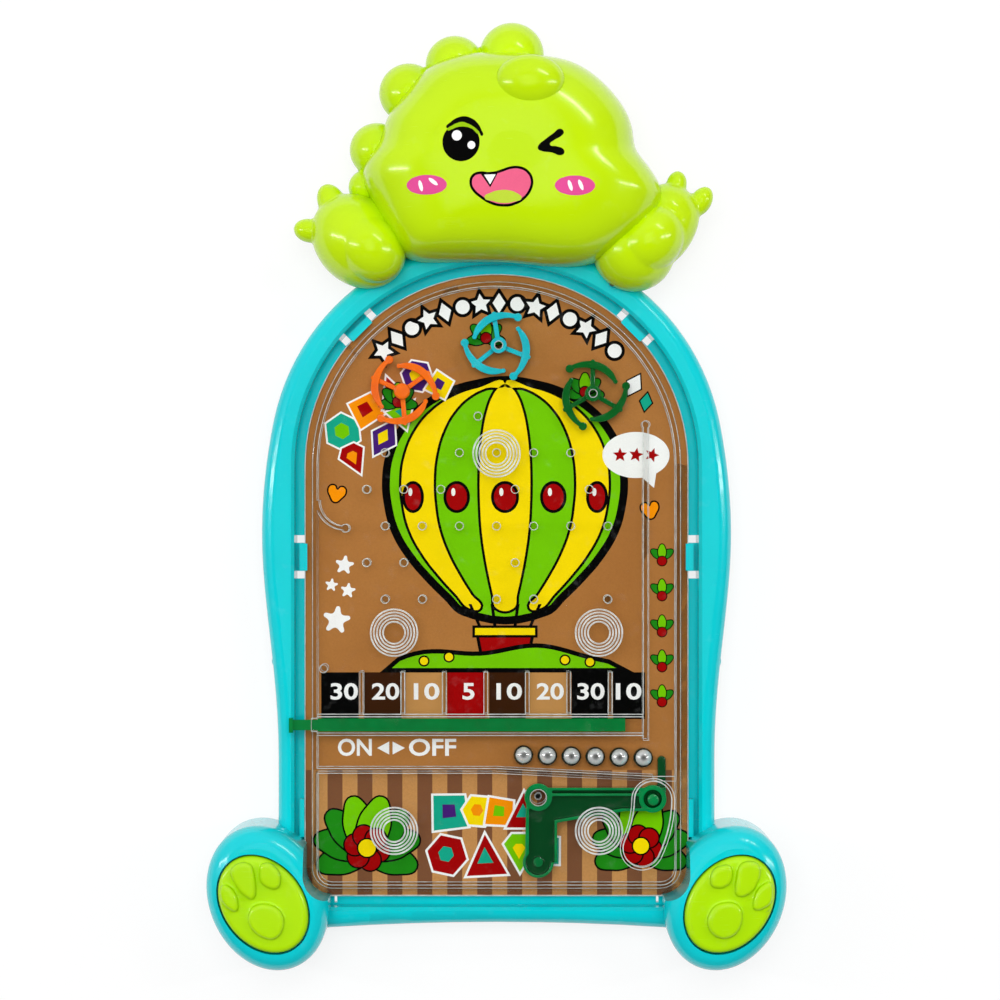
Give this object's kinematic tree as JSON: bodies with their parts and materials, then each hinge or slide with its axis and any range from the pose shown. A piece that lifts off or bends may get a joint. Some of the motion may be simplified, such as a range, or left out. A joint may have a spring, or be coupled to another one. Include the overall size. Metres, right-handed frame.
{
  "type": "pinball game",
  "caption": "Hand-held pinball toy: a clear arched box over a printed field with pegs, spinners, a gate and a spring launcher, in a frame with feet, arms and an animal head.",
  "frame": {"origin": "middle of the bounding box on the flat back, where the toy lies on a table", "axes": "+Z from the back to the player's side, +Y to the head, +X to the launch lane"},
  "size_m": [0.1816, 0.2984, 0.044],
  "materials": {
    "frame": "glossy",
    "lime": "glossy",
    "paw": "glossy",
    "clear": "clear polystyrene",
    "card": "printed",
    "backing": "matt",
    "orange": "glossy",
    "teal": "glossy",
    "green": "glossy",
    "ball": "polished steel",
    "steel": "zinc plated"
  },
  "bodies": {
    "frame": {"frame_back": "frame", "frame_front": "frame", "head_back": "lime", "head_front": "lime", "arm_left": "lime", "arm_right": "lime", "paw_left": "paw", "paw_right": "paw", "clear_cover": "clear", "play_card": "card", "back_plate": "backing", "spinner_pin": "orange", "launcher_spring": "steel", "frame_screws": "steel", "head_screws": "steel", "arm_screws": "steel", "pivot_screw": "steel"},
    "spinner_orange": {"spinner_orange": "orange"},
    "spinner_teal": {"spinner_teal": "teal"},
    "spinner_green": {"spinner_green": "green"},
    "gate_slider": {"gate_slider": "green"},
    "launcher_lever": {"launcher_lever": "green"},
    "ball_1": {"ball_1": "ball"},
    "ball_2": {"ball_2": "ball"},
    "ball_3": {"ball_3": "ball"},
    "ball_4": {"ball_4": "ball"},
    "ball_5": {"ball_5": "ball"},
    "ball_6": {"ball_6": "ball"}
  },
  "joints": [
    {"name": "spinner_orange_spin", "type": "hinge", "parent": "frame", "child": "spinner_orange", "pos_m": [-0.02994, 0.03244, 0.0145], "axis": [0, 0, 1], "continuous": true},
    {"name": "spinner_teal_spin", "type": "hinge", "parent": "frame", "child": "spinner_teal", "pos_m": [0.00067, 0.04698, 0.0145], "axis": [0, 0, 1], "continuous": true},
    {"name": "spinner_green_spin", "type": "hinge", "parent": "frame", "child": "spinner_green", "pos_m": [0.03051, 0.0317, 0.0145], "axis": [0, 0, 1], "continuous": true},
    {"name": "gate_slide", "type": "slide", "parent": "frame", "child": "gate_slider", "axis": [1, 0, 0], "range_m": [0, 0.0055]},
    {"name": "launcher_hinge", "type": "hinge", "parent": "frame", "child": "launcher_lever", "pos_m": [0.0132, -0.09602, 0.0153], "axis": [0, 0, 1], "range_deg": [-25, 0], "stiffness_Nm_per_rad": 0.02, "springref_deg": 11.46},
    {"name": "ball_1_roll", "type": "slide", "parent": "frame", "child": "ball_1", "axis": [-0.9998, 0.0218, 0], "range_m": [0, 0.06]},
    {"name": "ball_2_roll", "type": "slide", "parent": "frame", "child": "ball_2", "axis": [-0.9998, 0.0218, 0], "range_m": [0, 0.06]},
    {"name": "ball_3_roll", "type": "slide", "parent": "frame", "child": "ball_3", "axis": [-0.9998, 0.0218, 0], "range_m": [0, 0.06]},
    {"name": "ball_4_roll", "type": "slide", "parent": "frame", "child": "ball_4", "axis": [-0.9998, 0.0218, 0], "range_m": [0, 0.06]},
    {"name": "ball_5_roll", "type": "slide", "parent": "frame", "child": "ball_5", "axis": [-0.9998, 0.0218, 0], "range_m": [0, 0.06]},
    {"name": "ball_6_roll", "type": "slide", "parent": "frame", "child": "ball_6", "axis": [-0.9998, 0.0218, 0], "range_m": [0, 0.06]}
  ],
  "couplings": [
    {"joint": "ball_2_roll", "follows": "ball_1_roll", "ratio": 1},
    {"joint": "ball_3_roll", "follows": "ball_1_roll", "ratio": 1},
    {"joint": "ball_4_roll", "follows": "ball_1_roll", "ratio": 1},
    {"joint": "ball_5_roll", "follows": "ball_1_roll", "ratio": 1},
    {"joint": "ball_6_roll", "follows": "ball_1_roll", "ratio": 1}
  ]
}
